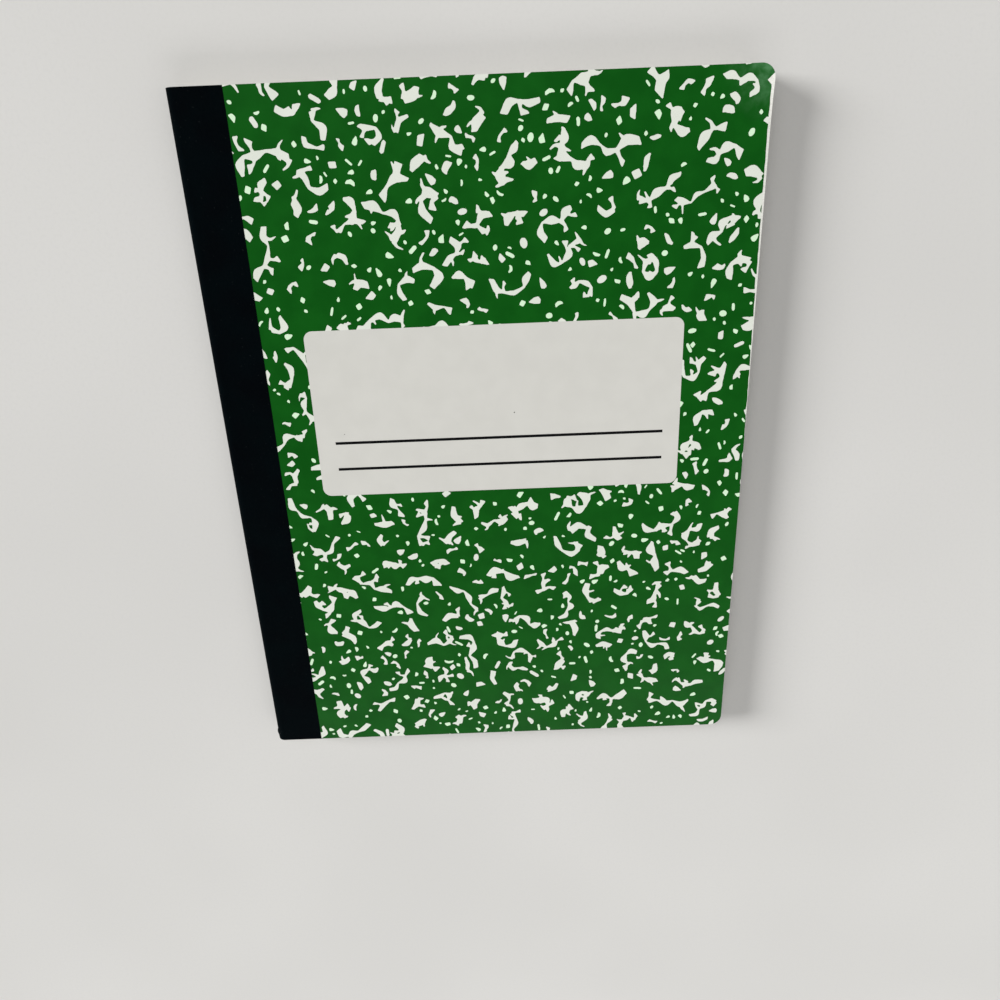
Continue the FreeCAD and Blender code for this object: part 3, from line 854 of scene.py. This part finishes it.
def make_cover(name, front, seed):
    """One cover board: printed face, seat for the tape, bare edges and plain lining."""
    places, faces, kinds = print_face(front, seed)
    mesh = Mesh()
    flat_faces(mesh, places, faces, kinds, BOARD_TOP, True)
    seat_line, outer = set(), []
    for a, b in rim([list(f) for f in faces]):
        pa, pb = places[a], places[b]
        at_tape = [abs(p[0] - tape_edge(p[1])) < ON_TAPE for p in (pa, pb)]
        foot = TAPED_SEAT if all(at_tape) else BOARD_BOTTOM
        wall = [(*pb, BOARD_TOP), (*pa, BOARD_TOP), (*pa, foot), (*pb, foot)]
        corners = [mesh.point(*corner) for corner in wall]
        if all(at_tape):
            seat_line |= {tuple(pa), tuple(pb)}
        else:
            outer.append(tuple(pa))
            if at_tape[0]:
                corners.insert(2, mesh.point(*pa, TAPED_SEAT))
            if at_tape[1]:
                corners.append(mesh.point(*pb, TAPED_SEAT))
        mesh.face(corners, IS_RAW)
    close_seat(mesh, sorted(seat_line, key=lambda p: p[1]))
    outline = [(BOARD_SPINE_X, HALF_HEIGHT), (BOARD_SPINE_X, -HALF_HEIGHT)]
    outline += ordered(outer + [(TAPE_EDGE_HEAD, HALF_HEIGHT), (TAPE_EDGE_TAIL, -HALF_HEIGHT)])
    loose = []
    if front:
        corner_x = np.arange(HALF_WIDTH - CREASE_HEAD, HALF_WIDTH, BENT_GRID_LOW)
        corner_y = np.arange(HALF_HEIGHT - CREASE_FORE, HALF_HEIGHT, BENT_GRID_LOW)
        radii = (0, CORNER_RADIUS, CORNER_RADIUS, 0)
        edge = rounded_box((0, -HALF_HEIGHT), (HALF_WIDTH, HALF_HEIGHT), radii)
        loose = spread_inside(edge * JUST_INSIDE, corner_x, corner_y)
    low_places, low_faces = triangulate([np.array(outline)], loose)
    centres = low_places[low_faces].mean(1)
    low_faces = low_faces[inside(np.array(outline), *centres.T)]
    flat_faces(mesh, low_places, low_faces, [IS_INSIDE] * len(low_faces), BOARD_BOTTOM, False)
    points = np.array(mesh.points)
    if front:
        points[:, 2] += lift(points)
        faces = mesh.faces
    else:
        points[:, 2] = THICKNESS - points[:, 2]
        faces = [f[::-1] for f in mesh.faces]
    piece = new_piece(name, points, faces, mesh.kinds, COVER_MATERIALS)
    return piece


def ordered(places):
    """Places round the outer rim, anticlockwise from the tail end of the tape."""
    return sorted(set(places), key=lambda p: math.atan2(p[1], p[0] - TAPE_EDGE_HEAD - PAST_TAPE))


def close_seat(mesh, seat_line):
    """The board under the tape: its face, fanned from a corner, its two ends and its spine side."""
    for a, b in zip(seat_line, seat_line[1:] + [(BOARD_SPINE_X, HALF_HEIGHT)]):
        mesh.face([mesh.point(*p, TAPED_SEAT) for p in ((BOARD_SPINE_X, -HALF_HEIGHT), a, b)], IS_RAW)
    for y, edge in ((-HALF_HEIGHT, TAPE_EDGE_TAIL), (HALF_HEIGHT, TAPE_EDGE_HEAD)):
        a, b = (BOARD_SPINE_X, y), (edge, y)
        corners = [mesh.point(*a, BOARD_BOTTOM), mesh.point(*b, BOARD_BOTTOM),
                   mesh.point(*b, TAPED_SEAT), mesh.point(*a, TAPED_SEAT)]
        mesh.face(corners if y < 0 else corners[::-1], IS_RAW)
    a, b = (BOARD_SPINE_X, -HALF_HEIGHT), (BOARD_SPINE_X, HALF_HEIGHT)
    mesh.face([mesh.point(*b, BOARD_BOTTOM), mesh.point(*a, BOARD_BOTTOM),
               mesh.point(*a, TAPED_SEAT), mesh.point(*b, TAPED_SEAT)], IS_RAW)


front_cover = make_cover("front_cover_board", True, FRONT_SEED)
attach(front_cover, "front_cover")
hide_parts("front_board")
back_cover = make_cover("back_cover_board", False, BACK_SEED)
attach(back_cover, "back_cover")
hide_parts("back_board")

# Tape: its section is an arc round the spine, then a tighter one at the hinge, then flat
SPINE_ARC = ((-87.05, MIDDLE_Z), 8.2)
BEND_ARC = ((-91.6952, 6.9), 3.2)
TAPE_THICKNESS = 0.2
BEND_STARTS = math.asin((BEND_ARC[0][1] - MIDDLE_Z) / (SPINE_ARC[1] - BEND_ARC[1]))
SPINE_STEPS = 12
BEND_STEPS = 46
FLAT_STEPS = np.linspace(0, 1, 11)[1:]
TAIL_BAND = 6.0
TAIL_ROWS = 16
ROWS = 90
WANDER = 0.05
WANDER_POINTS = 24
FRONT_TAPE_SEED = 5
BACK_TAPE_SEED = 6

# The crushed bump in the spine's tail end
BUMP_CENTRE = (-HALF_WIDTH, -HALF_HEIGHT + 2.3, MIDDLE_Z)
BUMP_REACH = (2.0, 0.8, 3.2)
BUMP_HEIGHT = 0.65


def tape_profile():
    """Outer and inner points of the tape's section, from the spine's middle round the hinge."""
    bends = [(*SPINE_ARC, t) for t in np.linspace(0, BEND_STARTS, SPINE_STEPS, endpoint=False)]
    bends += [(*BEND_ARC, t) for t in np.linspace(BEND_STARTS, math.pi / 2, BEND_STEPS)]
    outer, inner = [], []
    for (x, z), r, angle in bends:
        outer.append((x - r * math.cos(angle), z + r * math.sin(angle)))
        r -= TAPE_THICKNESS
        inner.append((x - r * math.cos(angle), z + r * math.sin(angle)))
    return np.array(outer), np.array(inner)


def make_tape(name, front):
    """Half of the tape, from the middle of the spine over one hinge to its edge on the cover."""
    rng = np.random.default_rng(FRONT_TAPE_SEED if front else BACK_TAPE_SEED)
    outer, inner = tape_profile()
    band = -HALF_HEIGHT + TAIL_BAND
    ys = np.concatenate([np.linspace(-HALF_HEIGHT, band, TAIL_ROWS, endpoint=False),
                         np.linspace(band, HALF_HEIGHT, ROWS)])
    wander = np.interp(ys, np.linspace(-HALF_HEIGHT, HALF_HEIGHT, WANDER_POINTS),
                       rng.uniform(-WANDER, WANDER, WANDER_POINTS))
    top, under = [], []
    for y, shift in zip(ys, wander):
        edge = tape_edge(y) + (shift if front else -shift)
        for line, store in ((outer, top), (inner, under)):
            x0, z0 = line[-1]
            row = [(x, y, z) for x, z in line]
            row += [(x0 + (edge - x0) * t, y, z0) for t in FLAT_STEPS]
            store.append(row)
    top, under = np.array(top), np.array(under)
    crumple(top)
    crumple(under)
    rows, columns = top.shape[:2]
    points = np.vstack([top.reshape(-1, 3), under.reshape(-1, 3)])
    faces = []

    def number(i, j, low):
        return (rows * columns if low else 0) + i * columns + j

    for i in range(rows - 1):
        for j in range(columns - 1):
            a, b, c, d = (i, j), (i, j + 1), (i + 1, j + 1), (i + 1, j)
            faces.append([number(*p, False) for p in (a, b, c, d)])
            faces.append([number(*p, True) for p in (d, c, b, a)])
        for j, flip in ((0, False), (columns - 1, True)):
            side = [(i, j, True), (i, j, False), (i + 1, j, False), (i + 1, j, True)]
            faces.append([number(*p) for p in (side[::-1] if flip else side)])
    for j in range(columns - 1):
        for i, flip in ((0, False), (rows - 1, True)):
            side = [(i, j, False), (i, j, True), (i, j + 1, True), (i, j + 1, False)]
            faces.append([number(*p) for p in (side[::-1] if flip else side)])
    if not front:
        points[:, 2] = THICKNESS - points[:, 2]
        faces = [f[::-1] for f in faces]
    piece = new_piece(name, points, faces, [0] * len(faces), [TAPE], sharp=40)
    rest = piece.data.attributes.new("rest", "FLOAT_VECTOR", "POINT")
    rest.data.foreach_set("vector", (points * MM).astype(np.float32).ravel())
    side = HINGE_Z if front else THICKNESS - HINGE_Z
    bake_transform(piece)
    return piece


def crumple(rows):
    """Pushes the tape's points out into the bump."""
    away = np.linalg.norm((rows - np.array(BUMP_CENTRE)) / np.array(BUMP_REACH), axis=2)
    rows[..., 0] -= BUMP_HEIGHT * np.exp(-away ** 2)


front_tape = make_tape("front_tape", True)
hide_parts("front_tape_flap", "spine_tape")
back_tape = make_tape("back_tape", False)
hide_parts("back_tape_flap", "spine_tape")

# Pages: fifty sheets, each folded once round the thread
SHEETS = 50
LEAF_THICKNESS = 0.084
LEAF_SOLID = 0.95
INNERMOST = 0.002
BLOCK_HALF = SHEETS * LEAF_THICKNESS
BLOCK_SPINE_X = -95.0047
FOLD_ARC = 8.0
FOLD_CORNER = 2.6
FOLD_STEPS = 9
FLAT_PLACES = (-89.5, -88.0, -84.0)
PAGE_CORNER_STEPS = 7
FORE_TRIM = 0.07
HEAD_TRIM = 0.06
PAGE_SEED = 3
THREAD_X = -90.85
THREAD_ROOM = 0.3
GROOVE_DEPTH = 0.6
GROOVE_REACH = 3.5
GROOVE_WIDTH = 0.45
IS_FACE, IS_EDGE = range(2)


def fold_profile():
    """The outermost sheet's section, from the fold's middle to where its leaf runs flat."""
    centre = BLOCK_SPINE_X + FOLD_ARC
    rise = BLOCK_HALF - FOLD_CORNER
    start = math.asin(rise / (FOLD_ARC - FOLD_CORNER))
    corner_x = centre - math.sqrt((FOLD_ARC - FOLD_CORNER) ** 2 - rise ** 2)
    points = [(centre - FOLD_ARC * math.cos(t), FOLD_ARC * math.sin(t))
              for t in np.linspace(0, start, FOLD_STEPS)[:-1]]
    points += [(corner_x - FOLD_CORNER * math.cos(t), rise + FOLD_CORNER * math.sin(t))
               for t in np.linspace(start, math.pi / 2, FOLD_STEPS)]
    return np.array(points)


def sheet_line(profile, half, fore):
    """One side of a folded sheet, from fold to fore edge, as places in the section."""
    scale = half / BLOCK_HALF
    focus = BLOCK_SPINE_X + BLOCK_HALF
    line = np.stack([focus + (profile[:, 0] - focus) * scale, profile[:, 1] * scale], 1)
    flat = [*FLAT_PLACES, HALF_WIDTH - CORNER_RADIUS]
    turn = np.linspace(0, math.pi / 2, PAGE_CORNER_STEPS)[1:]
    run = np.concatenate([flat, HALF_WIDTH - CORNER_RADIUS * (1 - np.sin(turn))])
    line = np.vstack([line, np.stack([run, np.full(len(run), half)], 1)])
    away = line - np.array([THREAD_X, 0])
    reach = np.linalg.norm(away, axis=1) + TINY
    line = np.array([THREAD_X, 0]) + away * (np.sqrt(reach ** 2 + THREAD_ROOM ** 2) / reach)[:, None]
    depth = np.clip(1 - (line[:, 0] - BLOCK_SPINE_X) / GROOVE_REACH, 0, 1)
    line[:, 0] += GROOVE_DEPTH * np.exp(-(line[:, 1] / GROOVE_WIDTH) ** 2) * depth ** 2
    line[:, 0] = np.minimum(line[:, 0], fore)
    return line


def make_pages():
    """All the sheets as one piece, outermost first, each a thin folded slab."""
    rng = np.random.default_rng(PAGE_SEED)
    profile = fold_profile()
    points, faces, kinds = [], [], []
    for k in range(SHEETS):
        half = BLOCK_HALF - k * LEAF_THICKNESS
        fore = HALF_WIDTH - rng.uniform(0, FORE_TRIM)
        trim = rng.uniform(0, HEAD_TRIM)
        loops = []
        for h in (half, half - LEAF_SOLID * LEAF_THICKNESS):
            upper = sheet_line(profile, max(h, INNERMOST), fore)
            lower = upper[:0:-1] * np.array([1, -1])
            loops.append(np.vstack([lower, upper]))
        count = len(loops[0])
        first = len(points)
        for loop in loops:
            into = np.maximum(CORNER_RADIUS - (HALF_WIDTH - loop[:, 0]), 0)
            cuts = CORNER_RADIUS - np.sqrt(np.maximum(CORNER_RADIUS ** 2 - into ** 2, 0))
            for sign in (-1, 1):
                for (x, z), cut in zip(loop, cuts):
                    points.append((x, sign * (HALF_HEIGHT - trim - cut), MIDDLE_Z + z))
        tail_out, head_out, tail_in, head_in = (first + line * count for line in range(4))
        for j in range(count - 1):
            n = j + 1
            quads = [([tail_out + j, tail_out + n, head_out + n, head_out + j], IS_FACE),
                     ([tail_in + n, tail_in + j, head_in + j, head_in + n], IS_FACE),
                     ([tail_out + n, tail_out + j, tail_in + j, tail_in + n], IS_EDGE),
                     ([head_out + j, head_out + n, head_in + n, head_in + j], IS_EDGE)]
            for quad, kind in quads:
                faces.append(quad)
                kinds.append(kind)
        for j, flip in ((0, False), (count - 1, True)):
            quad = [tail_out + j, head_out + j, head_in + j, tail_in + j]
            faces.append(quad[::-1] if flip else quad)
            kinds.append(IS_EDGE)
    piece = new_piece("pages", points, faces, kinds, [LEAF, LEAF_EDGE], sharp=40)
    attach(piece, "pages")
    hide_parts("page_block")


make_pages()

# The two threads keep the shapes they have in CAD
for node in ("inner_thread", "outer_thread"):
    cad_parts[node].data.materials.clear()
    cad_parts[node].data.materials.append(THREAD)


# Floor and light
FLOOR_HALF = 3.0
AMBIENT_COLOUR = (1.0, 0.99, 0.98, 1.0)
AMBIENT_STRENGTH = 0.32
BACKDROP = linear(208, 208, 205)


def make_floor():
    """A wide pale floor with a faint mottle."""
    n = Nodes("pale_floor", roughness=0.7, specular=0.15)
    place = n.place()
    soft = n.noise(place, size=180)
    fine = n.noise(place, size=1.2)
    tone = n.mix(n.ramp(soft, 0.3, 0.7), linear(203, 202, 199), linear(208, 207, 204))
    n.colour(n.mix(n.ramp(fine, 0.4, 0.9, to_high=0.35), tone, linear(199, 198, 195)))
    mesh = bpy.data.meshes.new("floor")
    corners = [(x * FLOOR_HALF, y * FLOOR_HALF, 0) for x, y in ((-1, -1), (1, -1), (1, 1), (-1, 1))]
    mesh.from_pydata(corners, [], [(0, 1, 2, 3)])
    mesh.materials.append(n.material)
    floor = placed("floor", mesh)


def aimed(name, data, place):
    """A lamp in the scene that shines from that place at the book's middle."""
    lamp = placed(name, data)
    lamp.location = place
    lamp.rotation_mode = "QUATERNION"
    lamp.rotation_quaternion = Vector(place).to_track_quat("Z", "Y")
    return lamp


def make_lamp(name, place, width, height, power):
    """A soft lamp panel that the camera doesn't see."""
    data = bpy.data.lights.new(name, "AREA")
    data.shape = "RECTANGLE"
    data.size = width
    data.size_y = height
    data.energy = power
    aimed(name, data, place).visible_camera = False


def make_key(place, spread, strength):
    """The main light: soft, low, and as bright at the floor's far side as at its near one.

    It is left out of reflections, so that the print shows without glare from low down.
    """
    data = bpy.data.lights.new("key_lamp", "SUN")
    data.angle = spread
    data.energy = strength
    aimed("key_lamp", data, place).visible_glossy = False


def make_world():
    """Soft light from all round, which the camera and reflections see as a pale backdrop."""
    world = bpy.data.worlds.new("world")
    world.use_nodes = True
    tree = world.node_tree
    lighting = tree.nodes["Background"]
    lighting.inputs["Color"].default_value = AMBIENT_COLOUR
    lighting.inputs["Strength"].default_value = AMBIENT_STRENGTH
    backdrop = tree.nodes.new("ShaderNodeBackground")
    backdrop.inputs["Color"].default_value = BACKDROP
    backdrop.inputs["Strength"].default_value = 1.0
    ray = tree.nodes.new("ShaderNodeLightPath")
    shown = ray.outputs["Is Camera Ray"]
    for kind in ("Is Glossy Ray", "Is Transmission Ray"):
        either = tree.nodes.new("ShaderNodeMath")
        either.operation = "MAXIMUM"
        tree.links.new(shown, either.inputs[0])
        tree.links.new(ray.outputs[kind], either.inputs[1])
        shown = either.outputs["Value"]
    seen = tree.nodes.new("ShaderNodeMixShader")
    tree.links.new(shown, seen.inputs["Fac"])
    tree.links.new(lighting.outputs["Background"], seen.inputs[1])
    tree.links.new(backdrop.outputs["Background"], seen.inputs[2])
    tree.links.new(seen.outputs["Shader"], tree.nodes["World Output"].inputs["Surface"])
    bpy.context.scene.world = world


make_floor()
make_key(place=(-2.3, 0.7, 1.0), spread=0.4, strength=3.9)
make_lamp("fill_lamp", place=(0.1, -1.0, 0.85), width=1.7, height=0.5, power=5.9)
make_lamp("head_lamp", place=(-0.3, 0.78, 1.1), width=0.6, height=0.6, power=3.2)
make_world()
